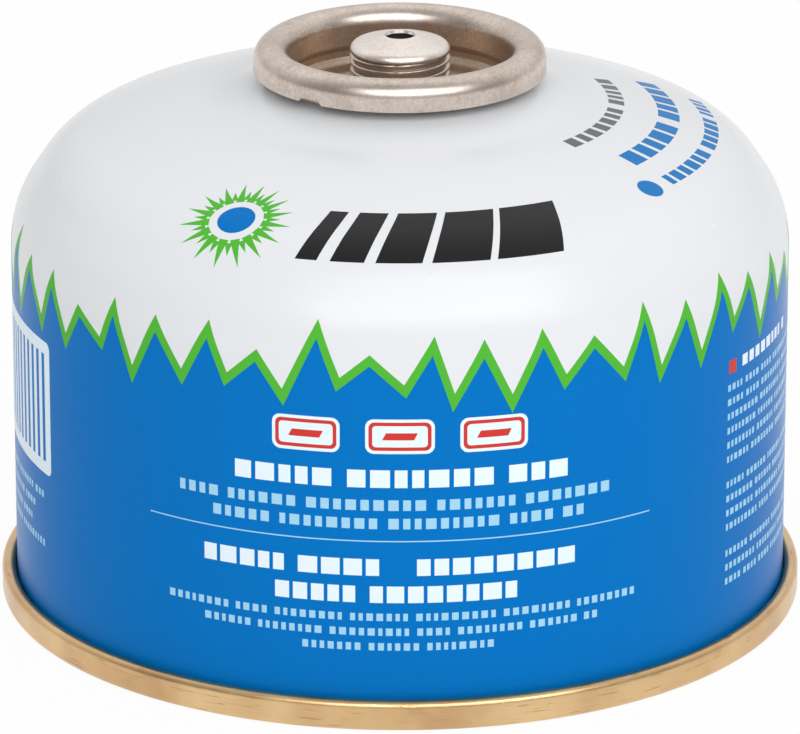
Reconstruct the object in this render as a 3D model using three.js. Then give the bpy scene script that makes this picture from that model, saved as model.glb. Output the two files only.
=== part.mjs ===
// A screw-valve fuel canister: a drawn steel vessel, a base end double-seamed into its foot, and a
// valve cup crimped onto its mouth with the valve inside the cup's post.
// Millimetres, +Z up along the axis of revolution, origin at the centre of the foot, front towards -Y.

import * as THREE from 'three';

// Facets round the axis and across the panel, how far a facet of a bend may lie from its arc, and what
// counts as one place
const hullSegments = 44;
const cupSegments = 36;
const valveSegments = 20;
const panelSteps = 4;
const chordError = 0.048;
const samePlace = 0.001;

// Drawn vessel: straight wall, rolled shoulder, shallow crown and the sweep up to the mouth
const bodyRadius = 43.3;
const bodySheet = 0.44;
const wallTop = 41.0;
const shoulderRadius = 12.3;
const coneLean = 34.3;
const coneRun = 2.1;
const knuckleRadius = 10.3;
const crownLean = 68.6;
const crownRadius = 66.4;
const crownInnerRadius = 21.5;
const sweepRadius = 12;
const neckLean = 70;
const neckBend = 0.8;
const neckRise = 0.95;

// Mouth of the vessel: a one inch hole with its edge curled outwards
const mouthRadius = 12.87;
const mouthCurlRadius = 1.43;
const mouthCurlEnd = -50;

// Double seam of the foot, counted through its five layers
const endSheet = 0.45;
const seamGap = 0.12;
const seamHeight = 3.4;
const seamBend = 0.535;
const hookSlack = 0.3;

// Pressed panel of the base end, domed up into the vessel
const panelEdgeHeight = 4.6;
const panelRise = 7;
const panelBend = 1.6;
const panelGap = 0.2;

// Valve cup: its curl over the mouth, the crimp below it, the recess and the threaded post
const cupSheet = 0.35;
const cupGap = 0.12;
const curlLift = 0.45;
const skirtLength = 1.35;
const crimpDrop = 1.6;
const crimpDepth = 0.55;
const crimpHeight = 0.8;
const crimpFlank = 0.7;
const recessDepth = 7.6;
const recessBend = 1;
const threadMajorRadius = 5.55;
const postFootBend = 0.7;
const postShoulderBend = 0.75;
const postProud = 0.7;
const postTopSlope = 15;
const postHoleRadius = 1.65;
const pocketGap = 0.2;

// Gaskets
const cupGasketGap = 0.08;
const cupGasketArc = 50;
const stemGasketThickness = 1.1;
const stemGasketBore = 1.9;

// Valve: housing, stem and return spring
const valveGap = 0.12;
const housingWall = 1.4;
const housingLength = 10.6;
const housingFloor = 1.2;
const housingLowerStep = 4.6;
const housingStepDepth = 0.7;
const housingInlet = 0.8;
const stemRunningGap = 0.3;
const stemHeadHeight = 1.2;
const stemSeatWidth = 0.6;
const stemNoseRadius = 1.1;
const stemNoseDepth = 1.2;
const stemSpigotRadius = 1.7;
const stemSpigotLength = 2.4;
const springWireRadius = 0.25;
const springTurns = 5;
const springSideGap = 0.25;
const springEndGap = 0.1;

// Outlines are lists of Vector2 in the half plane through the axis: x is the radius, y the height.

const point = (r, z) => new THREE.Vector2(r, z);

function arcPoints(centre, radius, fromDegrees, toDegrees) {
  const turn = toDegrees - fromDegrees;
  const largestStep = 2 * THREE.MathUtils.radToDeg(Math.acos(1 - chordError / radius));
  const steps = Math.max(1, Math.ceil(Math.abs(turn) / largestStep));
  return Array.from({ length: steps + 1 }, (_, i) => {
    const angle = THREE.MathUtils.degToRad(fromDegrees + (turn * i) / steps);
    return point(centre.x + radius * Math.cos(angle), centre.y + radius * Math.sin(angle));
  });
}

// A polyline with its corners rounded: each corner is [radius, height] or [radius, height, bend].
function rounded(corners) {
  const last = corners.length - 1;
  const path = corners.flatMap(([r, z, bend = 0], i) => {
    const corner = point(r, z);
    if (bend === 0 || i === 0 || i === last) return [corner];
    const before = point(corners[i - 1][0], corners[i - 1][1]).sub(corner).normalize();
    const after = point(corners[i + 1][0], corners[i + 1][1]).sub(corner).normalize();
    const half = Math.acos(before.dot(after)) / 2;
    const inward = before.clone().add(after).normalize();
    const centre = corner.clone().addScaledVector(inward, bend / Math.sin(half));
    const start = corner.clone().addScaledVector(before, bend / Math.tan(half)).sub(centre).angle();
    let turn = corner.clone().addScaledVector(after, bend / Math.tan(half)).sub(centre).angle() - start;
    if (turn > Math.PI) turn -= 2 * Math.PI;
    if (turn < -Math.PI) turn += 2 * Math.PI;
    const { radToDeg } = THREE.MathUtils;
    return arcPoints(centre, bend, radToDeg(start), radToDeg(start + turn));
  });
  return path.filter((p, i) => i === 0 || p.distanceTo(path[i - 1]) > samePlace);
}

// The closed section of a sheet whose middle line is path. An end on the axis is cut upright there.
function thicken(path, thickness) {
  const normals = path.map((here, i) => {
    if (here.x === 0) return point(0, 1);
    const before = here.clone().sub(path[Math.max(i - 1, 0)]);
    const after = path[Math.min(i + 1, path.length - 1)].clone().sub(here);
    const side = (v) => point(-v.y, v.x).normalize();
    if (i === 0) return side(after);
    if (i === path.length - 1) return side(before);
    const mitre = side(before).add(side(after)).normalize();
    return mitre.divideScalar(mitre.dot(side(after)));
  });
  const turnUp = path[0].x === 0 && path[1].x > 0 ? 1 : -1;
  const offset = (distance) => path.map((p, i) => p.clone().addScaledVector(normals[i], distance));
  return [...offset((turnUp * thickness) / 2), ...offset((-turnUp * thickness) / 2).reverse()];
}

// A solid of revolution. An outline that doesn't run from axis to axis is closed on itself.
function revolve(outline, segments) {
  const profile = THREE.ShapeUtils.area(outline) > 0 ? [...outline] : [...outline].reverse();
  const open = profile[0].x === 0 && profile[profile.length - 1].x === 0;
  if (!open) profile.push(profile[0].clone());
  return new THREE.LatheGeometry(profile, segments).rotateX(Math.PI / 2);
}

const paintedSteel = new THREE.MeshStandardMaterial({ color: 0xd4d7da, roughness: 0.3, metalness: 0 });
const goldLacquer = new THREE.MeshStandardMaterial({ color: 0xc9a87c, roughness: 0.35, metalness: 0.9 });
const tinplate = new THREE.MeshStandardMaterial({ color: 0xbfb3a8, roughness: 0.3, metalness: 1 });
const blackRubber = new THREE.MeshStandardMaterial({ color: 0x1c1b1a, roughness: 0.8, metalness: 0 });
const acetal = new THREE.MeshStandardMaterial({ color: 0xe4e0d6, roughness: 0.5, metalness: 0 });
const springSteel = new THREE.MeshStandardMaterial({ color: 0x9a9a9c, roughness: 0.3, metalness: 1 });

const canister = new THREE.Group();

function addPart(name, geometry, material) {
  const mesh = new THREE.Mesh(geometry, material);
  mesh.name = name;
  canister.add(mesh);
}

// The vessel's outside from the top of its wall to the foot of its neck. The lean is measured from
// upright towards the axis, and each bend starts at the lean that the one before it ended with.
const neckRadius = mouthRadius + bodySheet;

function shoulderOutline() {
  const { degToRad, radToDeg } = THREE.MathUtils;
  const outline = [point(bodyRadius, wallTop)];
  const end = () => outline[outline.length - 1];
  const bend = (radius, fromLean, toLean) => {
    const side = toLean > fromLean ? 0 : 180;
    const start = degToRad(side + fromLean);
    const centre = end().clone().sub(point(radius * Math.cos(start), radius * Math.sin(start)));
    outline.push(...arcPoints(centre, radius, side + fromLean, side + toLean).slice(1));
  };
  bend(shoulderRadius, 0, coneLean);
  const lean = degToRad(coneLean);
  outline.push(end().clone().add(point(-coneRun * Math.sin(lean), coneRun * Math.cos(lean))));
  bend(knuckleRadius, coneLean, crownLean);
  const crownCosine = Math.cos(degToRad(crownLean)) - (end().x - crownInnerRadius) / crownRadius;
  const crownEndLean = radToDeg(Math.acos(crownCosine));
  bend(crownRadius, crownLean, crownEndLean);
  bend(sweepRadius, crownEndLean, neckLean);
  const neck = degToRad(neckLean);
  const run = (end().x - neckRadius - neckBend * (1 - Math.cos(neck))) / Math.sin(neck);
  outline.push(end().clone().add(point(-run * Math.sin(neck), run * Math.cos(neck))));
  bend(neckBend, neckLean, 0);
  return outline;
}

const shoulder = shoulderOutline();
const neckTop = shoulder[shoulder.length - 1].y;

// Heights and radii that the mouth, the cup and the valve share
const mouthCurlCentre = point(mouthRadius + mouthCurlRadius, neckTop + neckRise);
const cupCurlCentre = mouthCurlCentre.clone().add(point(0, curlLift));
const cupWallMiddle = mouthRadius - cupGap - cupSheet / 2;
const cupSkirtMiddle = mouthRadius + 2 * mouthCurlRadius + cupGap + cupSheet / 2;
const cupCurlMiddle = (cupSkirtMiddle - cupWallMiddle) / 2;
const ringTop = cupCurlCentre.y + cupCurlMiddle + cupSheet / 2;
const recessFloorMiddle = ringTop - recessDepth - cupSheet / 2;
const crimpMiddle = mouthCurlCentre.y - crimpDrop - crimpFlank - crimpHeight / 2;
const postMiddle = threadMajorRadius - cupSheet / 2;
const postBore = threadMajorRadius - cupSheet;
const topSlope = Math.tan(THREE.MathUtils.degToRad(postTopSlope));
const postHoleMiddle = ringTop + postProud - cupSheet / 2;
const postTopMiddleAt = (r) => postHoleMiddle - (r - postHoleRadius) * topSlope;

// Radii of the seam's layers, from the chuck wall inside the vessel to the seam wall outside it
const bodyBore = bodyRadius - bodySheet;
const chuckMiddle = bodyBore - seamGap - endSheet / 2;
const coverHookMiddle = bodyRadius + seamGap + endSheet / 2;
const bodyHookInner = bodyRadius + 2 * seamGap + endSheet;
const bodyHookOuter = bodyHookInner + bodySheet;
const seamWallMiddle = bodyHookOuter + seamGap + endSheet / 2;
const bodyFoot = endSheet + seamGap;
const bodyHookTop = seamHeight - endSheet - seamGap - hookSlack;
const coverHookEnd = bodyFoot + bodySheet + seamGap + hookSlack;

// The domed panel is an arc through its apex and the top of the chuck wall.
const panelSphere = (chuckMiddle ** 2 + panelRise ** 2) / (2 * panelRise);
const panelCentre = panelEdgeHeight + panelRise - panelSphere;
const panelHeightAt = (r) => panelCentre + Math.sqrt(panelSphere ** 2 - r ** 2);
const panelStations = Array.from({ length: panelSteps + 1 }, (_, i) => (i * chuckMiddle) / panelSteps);

// Valve stack under the top of the post, each piece set on the one above it
const gasketTopAt = (r) => postTopMiddleAt(r) - cupSheet / 2 - valveGap;
const gasketRadius = postBore - valveGap;
const gasketUndersideAt = (r) => gasketTopAt(r) - stemGasketThickness;
const housingTop = gasketUndersideAt(gasketRadius) - valveGap;
const housingRadius = postBore - valveGap;
const housingBore = housingRadius - housingWall;
const housingBottom = housingTop - housingLength;
const housingFloorTop = housingBottom + housingFloor;
const housingLowerRadius = housingRadius - housingStepDepth;
const stemHeadRadius = housingBore - stemRunningGap;
const stemSeatTop = gasketUndersideAt(stemHeadRadius) - valveGap;
const stemHeadTop = stemSeatTop - stemSeatWidth;
const stemHeadUnderside = stemHeadTop - stemHeadHeight;
const stemNoseTop = ringTop + postProud - stemNoseDepth;
const springRadius = housingBore - springSideGap - springWireRadius;

// Drawn vessel with its body hook and mouth curl. It is one solid inside, down to the base end.
function vesselOutline() {
  const foot = rounded([
    [0, panelHeightAt(0) + endSheet / 2 + panelGap],
    ...panelStations.slice(1, -1).map((r) => [r, panelHeightAt(r) + endSheet / 2 + panelGap]),
    [bodyBore, panelHeightAt(chuckMiddle) + endSheet / 2 + panelGap],
    [bodyBore, bodyFoot, seamBend + bodySheet / 2],
    [bodyHookOuter, bodyFoot, seamBend + bodySheet / 2],
    [bodyHookOuter, bodyHookTop],
    [bodyHookInner, bodyHookTop],
    [bodyHookInner, bodyFoot + bodySheet, seamBend - bodySheet / 2],
    [bodyRadius, bodyFoot + bodySheet, seamBend - bodySheet / 2],
    [bodyRadius, wallTop],
  ]);
  const curlInside = arcPoints(mouthCurlCentre, mouthCurlRadius - bodySheet, 180, mouthCurlEnd);
  const curlOutside = arcPoints(mouthCurlCentre, mouthCurlRadius, mouthCurlEnd, 180);
  const clearOfCrimp = crimpDepth + cupSheet / 2 + cupWallMiddle + pocketGap;
  const pocket = [
    point(mouthRadius, crimpMiddle + crimpHeight / 2 + crimpFlank + pocketGap),
    point(clearOfCrimp, crimpMiddle + crimpHeight / 2 + pocketGap),
    point(clearOfCrimp, crimpMiddle - crimpHeight / 2 - pocketGap),
    point(mouthRadius, crimpMiddle - crimpHeight / 2 - crimpFlank - pocketGap),
    point(mouthRadius, recessFloorMiddle - cupSheet / 2 - pocketGap),
    point(housingLowerRadius + pocketGap, recessFloorMiddle - cupSheet / 2 - pocketGap),
    point(housingLowerRadius + pocketGap, housingBottom - pocketGap),
    point(0, housingBottom - pocketGap),
  ];
  return [...foot, ...shoulder.slice(1), ...curlInside, ...curlOutside, ...pocket];
}

addPart('can_body', revolve(vesselOutline(), hullSegments), paintedSteel);

// Base end: domed panel, chuck wall, and the curl that is folded round the body hook
const baseEndPath = rounded([
  ...panelStations.slice(0, -1).map((r) => [r, panelHeightAt(r)]),
  [chuckMiddle, panelEdgeHeight, panelBend],
  [chuckMiddle, endSheet / 2, seamBend],
  [seamWallMiddle, endSheet / 2, seamBend],
  [seamWallMiddle, seamHeight - endSheet / 2, seamBend],
  [coverHookMiddle, seamHeight - endSheet / 2, seamBend],
  [coverHookMiddle, coverHookEnd],
]);
addPart('base_end', revolve(thicken(baseEndPath, endSheet), hullSegments), goldLacquer);

// Valve cup, pressed in one piece from the skirt of its curl to the hole in its post
const cupPath = rounded([
  [cupSkirtMiddle, cupCurlCentre.y - skirtLength],
  [cupSkirtMiddle, cupCurlCentre.y + cupCurlMiddle, cupCurlMiddle],
  [cupWallMiddle, cupCurlCentre.y + cupCurlMiddle, cupCurlMiddle],
  [cupWallMiddle, crimpMiddle + crimpHeight / 2 + crimpFlank],
  [cupWallMiddle + crimpDepth, crimpMiddle + crimpHeight / 2],
  [cupWallMiddle + crimpDepth, crimpMiddle - crimpHeight / 2],
  [cupWallMiddle, crimpMiddle - crimpHeight / 2 - crimpFlank],
  [cupWallMiddle, recessFloorMiddle, recessBend],
  [postMiddle, recessFloorMiddle, postFootBend],
  [postMiddle, postTopMiddleAt(postMiddle), postShoulderBend],
  [postHoleRadius, postHoleMiddle],
]);
addPart('valve_cup', revolve(thicken(cupPath, cupSheet), cupSegments), tinplate);

// Gasket squeezed between the vessel's curl and the cup's
function cupGasketOutline() {
  const outerRadius = cupCurlMiddle - cupSheet / 2 - cupGasketGap;
  const innerRadius = mouthCurlRadius + cupGasketGap;
  const outer = arcPoints(cupCurlCentre, outerRadius, 90 - cupGasketArc, 90 + cupGasketArc);
  const inner = arcPoints(mouthCurlCentre, innerRadius, 90 + cupGasketArc, 90 - cupGasketArc);
  return [...outer, ...inner];
}

addPart('cup_gasket', revolve(cupGasketOutline(), cupSegments), blackRubber);

// Gasket under the post's top, which the stem closes against
const stemGasketOutline = [
  point(stemGasketBore, gasketUndersideAt(stemGasketBore)),
  point(gasketRadius, gasketUndersideAt(gasketRadius)),
  point(gasketRadius, gasketTopAt(gasketRadius)),
  point(stemGasketBore, gasketTopAt(stemGasketBore)),
];
addPart('stem_gasket', revolve(stemGasketOutline, valveSegments), blackRubber);

// Housing that holds the spring and guides the stem, with the gas inlet in its floor
const housingOutline = [
  point(housingInlet, housingBottom),
  point(housingLowerRadius, housingBottom),
  point(housingLowerRadius, housingTop - housingLowerStep),
  point(housingRadius, housingTop - housingLowerStep + housingStepDepth),
  point(housingRadius, housingTop),
  point(housingBore, housingTop),
  point(housingBore, housingFloorTop),
  point(housingInlet, housingFloorTop),
];
addPart('valve_housing', revolve(housingOutline, valveSegments), acetal);

// Stem: a nose in the post's hole, a head with a raised seat, and a spigot inside the spring
const stemOutline = [
  point(0, stemHeadUnderside - stemSpigotLength),
  point(stemSpigotRadius, stemHeadUnderside - stemSpigotLength),
  point(stemSpigotRadius, stemHeadUnderside),
  point(stemHeadRadius, stemHeadUnderside),
  point(stemHeadRadius, stemSeatTop),
  point(stemHeadRadius - stemSeatWidth, stemSeatTop),
  point(stemHeadRadius - stemSeatWidth, stemHeadTop),
  point(stemNoseRadius, stemHeadTop),
  point(stemNoseRadius, stemNoseTop),
  point(0, stemNoseTop),
];
addPart('valve_stem', revolve(stemOutline, valveSegments), acetal);

// Return spring between the housing's floor and the stem's head
class HelixCurve extends THREE.Curve {
  getPoint(t, target = new THREE.Vector3()) {
    const angle = 2 * Math.PI * springTurns * t;
    const low = housingFloorTop + springEndGap + springWireRadius;
    const high = stemHeadUnderside - springEndGap - springWireRadius;
    const height = low + (high - low) * t;
    return target.set(springRadius * Math.cos(angle), springRadius * Math.sin(angle), height);
  }
}

const wireStepsPerTurn = 12;
const wireSides = 6;
const wireSection = new THREE.Shape(
  Array.from({ length: wireSides }, (_, i) => {
    const angle = (2 * Math.PI * i) / wireSides;
    return point(springWireRadius * Math.cos(angle), springWireRadius * Math.sin(angle));
  }),
);
const springGeometry = new THREE.ExtrudeGeometry(wireSection, {
  steps: wireStepsPerTurn * springTurns,
  extrudePath: new HelixCurve(),
  bevelEnabled: false,
});
addPart('valve_spring', springGeometry, springSteel);

export default canister;
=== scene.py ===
"""The looks of the fuel canister: painted vessel, gold base end, tinplate valve cup and the studio."""

import math
import random

import bmesh
import bpy
import numpy as np
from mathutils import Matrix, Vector
from mathutils.geometry import delaunay_2d_cdt


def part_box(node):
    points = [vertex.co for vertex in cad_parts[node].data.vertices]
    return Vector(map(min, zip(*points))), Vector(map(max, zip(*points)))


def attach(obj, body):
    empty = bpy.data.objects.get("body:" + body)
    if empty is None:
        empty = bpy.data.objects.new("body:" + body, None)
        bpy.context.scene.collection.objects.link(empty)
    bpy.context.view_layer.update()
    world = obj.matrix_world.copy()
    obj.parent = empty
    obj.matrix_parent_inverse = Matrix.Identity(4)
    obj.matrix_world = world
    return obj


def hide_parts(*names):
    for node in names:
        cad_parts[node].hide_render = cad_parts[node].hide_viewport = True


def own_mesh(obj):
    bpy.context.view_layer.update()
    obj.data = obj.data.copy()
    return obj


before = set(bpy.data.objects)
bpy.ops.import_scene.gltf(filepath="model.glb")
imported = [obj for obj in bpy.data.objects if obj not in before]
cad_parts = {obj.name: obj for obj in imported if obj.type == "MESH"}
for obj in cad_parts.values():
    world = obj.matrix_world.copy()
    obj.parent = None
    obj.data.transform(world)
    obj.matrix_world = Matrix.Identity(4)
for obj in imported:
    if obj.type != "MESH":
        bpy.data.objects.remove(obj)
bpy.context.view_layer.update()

MM = 0.001

# The photograph's camera, fitted to the canister's outline: millimetres and degrees
CAMERA_DISTANCE = 773.5
CAMERA_PIVOT_HEIGHT = 28.1
CAMERA_ELEVATION = 19.58
CAMERA_PITCH = 19.76
CAMERA_LENS = 310.5
SENSOR_WIDTH = 36

# Driving sizes in millimetres and degrees, as in the part's source
BODY_RADIUS = 43.3
BODY_SHEET = 0.44
WALL_TOP = 41.0
SHOULDER_RADIUS = 12.3
CONE_LEAN = 34.3
CONE_RUN = 2.1
KNUCKLE_RADIUS = 10.3
CROWN_LEAN = 68.6
CROWN_RADIUS = 66.4
CROWN_INNER_RADIUS = 21.5
SWEEP_RADIUS = 12
NECK_LEAN = 70
NECK_BEND = 0.8
NECK_RISE = 0.95
MOUTH_RADIUS = 12.87
MOUTH_CURL_RADIUS = 1.43
MOUTH_CURL_END = -50
END_SHEET = 0.45
SEAM_GAP = 0.12
SEAM_HEIGHT = 3.4
SEAM_BEND = 0.535
HOOK_SLACK = 0.3
PANEL_EDGE_HEIGHT = 4.6
PANEL_RISE = 7
PANEL_BEND = 1.6
PANEL_GAP = 0.2
CUP_SHEET = 0.35
CUP_GAP = 0.12
CURL_LIFT = 0.45
SKIRT_LENGTH = 1.35
CRIMP_DROP = 1.6
CRIMP_DEPTH = 0.55
CRIMP_HEIGHT = 0.8
CRIMP_FLANK = 0.7
RECESS_DEPTH = 7.6
RECESS_BEND = 1
THREAD_MAJOR_RADIUS = 5.55
POST_FOOT_BEND = 0.7
POST_SHOULDER_BEND = 0.75
POST_PROUD = 0.7
POST_TOP_SLOPE = 15
POST_HOLE_RADIUS = 1.65
POCKET_GAP = 0.2
HOUSING_LOWER_RADIUS = 4.38
HOUSING_BOTTOM = 51.3

# Bends that only the fine mesh has: at the crimp's edges and at the lip of the post's hole
CRIMP_OUTER_BEND = 0.5
CRIMP_INNER_BEND = 0.3
LIP_RUN = 0.9
LIP_BEND = 0.5

# Facets of the fine surfaces: steps in millimetres along an outline, turns in degrees
ARC_TURN = 7.5
CURL_TURN = 15
SKIN_STEP = 1.0
SKIN_TURN = 3
WALL_STEP = 2.0
CUP_STEP = 0.6
THREAD_STEP = 0.05
VESSEL_PANEL_POINTS = 12
END_PANEL_POINTS = 16
BODY_COLUMNS = 240
CUP_COLUMNS = 192
SHARP_CORNER = 40

# Distances in millimetres under which points count as one, or as on a surface
SAME_PLACE = 1e-4
MERGE_DISTANCE = 5e-4
ON_SURFACE = 0.01


# Outlines: lists of (radius, height) in millimetres

def arc(centre, radius, start, stop, turn=ARC_TURN):
    """Points of an arc, angles in degrees from the outward direction towards up."""
    count = max(2, math.ceil(abs(stop - start) / turn))
    angles = [math.radians(start + (stop - start) * i / count) for i in range(count + 1)]
    return [(centre[0] + radius * math.cos(a), centre[1] + radius * math.sin(a)) for a in angles]


def rounded(corners):
    """A polyline with rounded corners, each given as (radius, height) or (radius, height, bend)."""
    path = []
    for i, corner in enumerate(corners):
        here = Vector(corner[:2])
        bend = corner[2] if len(corner) > 2 else 0
        if bend == 0:
            path.append(tuple(here))
            continue
        before = (Vector(corners[i - 1][:2]) - here).normalized()
        after = (Vector(corners[i + 1][:2]) - here).normalized()
        half = math.acos(before.dot(after)) / 2
        centre = here + (before + after).normalized() * (bend / math.sin(half))
        first = here + before * (bend / math.tan(half)) - centre
        last = here + after * (bend / math.tan(half)) - centre
        start = math.degrees(math.atan2(first.y, first.x))
        turn = math.degrees(math.atan2(last.y, last.x)) - start
        turn = (turn + 180) % 360 - 180
        path += arc(centre, bend, start, start + turn)
    return [p for i, p in enumerate(path) if i == 0 or math.dist(p, path[i - 1]) > SAME_PLACE]


def thicken(path, thickness):
    """Both faces of a sheet with this middle line, first the one on the left of the way along it.

    An end on the axis is cut upright.
    """
    points = [Vector(p) for p in path]
    normals = []
    for i, here in enumerate(points):
        before = (here - points[max(i - 1, 0)]).orthogonal()
        after = (points[min(i + 1, len(points) - 1)] - here).orthogonal()
        if here.x == 0:
            normals.append(Vector((0, 1)))
        elif i == 0:
            normals.append(after.normalized())
        elif i == len(points) - 1:
            normals.append(before.normalized())
        else:
            mitre = (before.normalized() + after.normalized()).normalized()
            normals.append(mitre / mitre.dot(after.normalized()))
    left = [tuple(p + n * thickness / 2) for p, n in zip(points, normals)]
    right = [tuple(p - n * thickness / 2) for p, n in zip(points, normals)]
    return left, right


def sample(path, spacing):
    """The path with points no further apart than spacing."""
    out = [path[0]]
    for a, b in zip(path, path[1:]):
        count = max(1, math.ceil(math.dist(a, b) / spacing))
        for i in range(1, count + 1):
            out.append((a[0] + (b[0] - a[0]) * i / count, a[1] + (b[1] - a[1]) * i / count))
    return out


def bend_on(path, radius, from_lean, to_lean):
    """Adds a bend to an outline that climbs towards the axis; leans are measured from upright."""
    side = 0 if to_lean > from_lean else 180
    lean = math.radians(side + from_lean)
    centre = (path[-1][0] - radius * math.cos(lean), path[-1][1] - radius * math.sin(lean))
    turn = min(SKIN_TURN, math.degrees(SKIN_STEP / radius))
    path += arc(centre, radius, side + from_lean, side + to_lean, turn)[1:]


def shoulder_outline():
    """The vessel's outside from the top of its straight wall to the foot of its neck."""
    path = [(BODY_RADIUS, WALL_TOP)]
    bend_on(path, SHOULDER_RADIUS, 0, CONE_LEAN)
    lean = math.radians(CONE_LEAN)
    path.append((path[-1][0] - CONE_RUN * math.sin(lean), path[-1][1] + CONE_RUN * math.cos(lean)))
    bend_on(path, KNUCKLE_RADIUS, CONE_LEAN, CROWN_LEAN)
    cosine = math.cos(math.radians(CROWN_LEAN)) - (path[-1][0] - CROWN_INNER_RADIUS) / CROWN_RADIUS
    crown_end = math.degrees(math.acos(cosine))
    bend_on(path, CROWN_RADIUS, CROWN_LEAN, crown_end)
    bend_on(path, SWEEP_RADIUS, crown_end, NECK_LEAN)
    neck = math.radians(NECK_LEAN)
    neck_radius = MOUTH_RADIUS + BODY_SHEET
    run = (path[-1][0] - neck_radius - NECK_BEND * (1 - math.cos(neck))) / math.sin(neck)
    path.append((path[-1][0] - run * math.sin(neck), path[-1][1] + run * math.cos(neck)))
    bend_on(path, NECK_BEND, NECK_LEAN, 0)
    return path


SHOULDER = shoulder_outline()
NECK_TOP = SHOULDER[-1][1]
MOUTH_CURL_CENTRE = (MOUTH_RADIUS + MOUTH_CURL_RADIUS, NECK_TOP + NECK_RISE)
CUP_CURL_HEIGHT = MOUTH_CURL_CENTRE[1] + CURL_LIFT
CUP_WALL_MIDDLE = MOUTH_RADIUS - CUP_GAP - CUP_SHEET / 2
CUP_SKIRT_MIDDLE = MOUTH_RADIUS + 2 * MOUTH_CURL_RADIUS + CUP_GAP + CUP_SHEET / 2
CUP_CURL_MIDDLE = (CUP_SKIRT_MIDDLE - CUP_WALL_MIDDLE) / 2
SKIRT_END = CUP_CURL_HEIGHT - SKIRT_LENGTH
RING_TOP_MIDDLE = CUP_CURL_HEIGHT + CUP_CURL_MIDDLE
RING_TOP = RING_TOP_MIDDLE + CUP_SHEET / 2
RECESS_FLOOR_MIDDLE = RING_TOP - RECESS_DEPTH - CUP_SHEET / 2
CRIMP_MIDDLE = MOUTH_CURL_CENTRE[1] - CRIMP_DROP - CRIMP_FLANK - CRIMP_HEIGHT / 2
POST_MIDDLE = THREAD_MAJOR_RADIUS - CUP_SHEET / 2
POST_SLOPE = math.tan(math.radians(POST_TOP_SLOPE))
HOLE_HEIGHT = RING_TOP + POST_PROUD - CUP_SHEET / 2
POST_EDGE_HEIGHT = HOLE_HEIGHT - (POST_MIDDLE - POST_HOLE_RADIUS) * POST_SLOPE
CHUCK_MIDDLE = BODY_RADIUS - BODY_SHEET - SEAM_GAP - END_SHEET / 2
COVER_HOOK_MIDDLE = BODY_RADIUS + SEAM_GAP + END_SHEET / 2
BODY_HOOK_INNER = BODY_RADIUS + 2 * SEAM_GAP + END_SHEET
BODY_HOOK_OUTER = BODY_HOOK_INNER + BODY_SHEET
SEAM_WALL_MIDDLE = BODY_HOOK_OUTER + SEAM_GAP + END_SHEET / 2
BODY_FOOT = END_SHEET + SEAM_GAP
BODY_HOOK_TOP = SEAM_HEIGHT - END_SHEET - SEAM_GAP - HOOK_SLACK
COVER_HOOK_END = BODY_FOOT + BODY_SHEET + SEAM_GAP + HOOK_SLACK
PANEL_SPHERE = (CHUCK_MIDDLE ** 2 + PANEL_RISE ** 2) / (2 * PANEL_RISE)


def panel_height(r):
    """The middle of the base end's domed panel."""
    return PANEL_EDGE_HEIGHT + PANEL_RISE - PANEL_SPHERE + math.sqrt(PANEL_SPHERE ** 2 - r ** 2)


# Meshes

def around(radius, height, angle):
    """The point at an angle round the axis, 0 at the front and positive to the right."""
    return radius * math.sin(angle), -radius * math.cos(angle), height


def new_object(name, bm, body, materials):
    """Turns a bmesh in millimetres into a smooth object in metres that rides on a body."""
    mesh = bpy.data.meshes.new(name)
    bmesh.ops.recalc_face_normals(bm, faces=bm.faces)
    bmesh.ops.scale(bm, vec=(MM, MM, MM), verts=bm.verts)
    bm.to_mesh(mesh)
    bm.free()
    mesh.polygons.foreach_set("use_smooth", [True] * len(mesh.polygons))
    mesh.set_sharp_from_angle(angle=math.radians(SHARP_CORNER))
    obj = bpy.data.objects.new(name, mesh)
    bpy.context.scene.collection.objects.link(obj)
    for mat in materials:
        mesh.materials.append(mat)
    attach(obj, body)
    return obj


def revolve(bm, outline, columns, place=None, closed=False):
    """Revolves an outline into a bmesh. place may move a point: place(radius, height, angle)."""
    rings = []
    for r, z in outline:
        if r == 0:
            rings.append([bm.verts.new((0, 0, z))] * columns)
            continue
        ring = []
        for c in range(columns):
            angle = -math.pi + 2 * math.pi * c / columns
            moved = place(r, z, angle) if place else (r, z)
            ring.append(bm.verts.new(around(*moved, angle)))
        rings.append(ring)
    pairs = list(zip(rings, rings[1:]))
    if closed:
        pairs.append((rings[-1], rings[0]))
    for low, high in pairs:
        for c in range(columns):
            d = (c + 1) % columns
            corners = [low[c], low[d], high[d], high[c]]
            bm.faces.new(list(dict.fromkeys(corners)))


# Shader helpers. Noise scales are per millimetre, and bump distances are in millimetres.

def material(name, colour, roughness, metallic=0.0, ior=1.5, coat=0.0, coat_roughness=0.05):
    """A principled material. Values that are the same all over stay on the shader's own sockets."""
    mat = bpy.data.materials.new(name)
    mat.use_nodes = True
    shader = mat.node_tree.nodes["Principled BSDF"]
    shader.inputs["Base Color"].default_value = (*colour, 1)
    shader.inputs["Roughness"].default_value = roughness
    shader.inputs["Metallic"].default_value = metallic
    shader.inputs["IOR"].default_value = ior
    shader.inputs["Coat Weight"].default_value = coat
    shader.inputs["Coat Roughness"].default_value = coat_roughness
    return mat


def node(owner, kind, **settings):
    """A new node. Each setting is a property of the node or, failing that, the value of an input."""
    made = owner.node_tree.nodes.new(kind)
    for key, value in settings.items():
        if hasattr(made, key):
            setattr(made, key, value)
        else:
            made.inputs[key].default_value = value
    return made


def link(owner, output, socket):
    owner.node_tree.links.new(output, socket)


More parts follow.
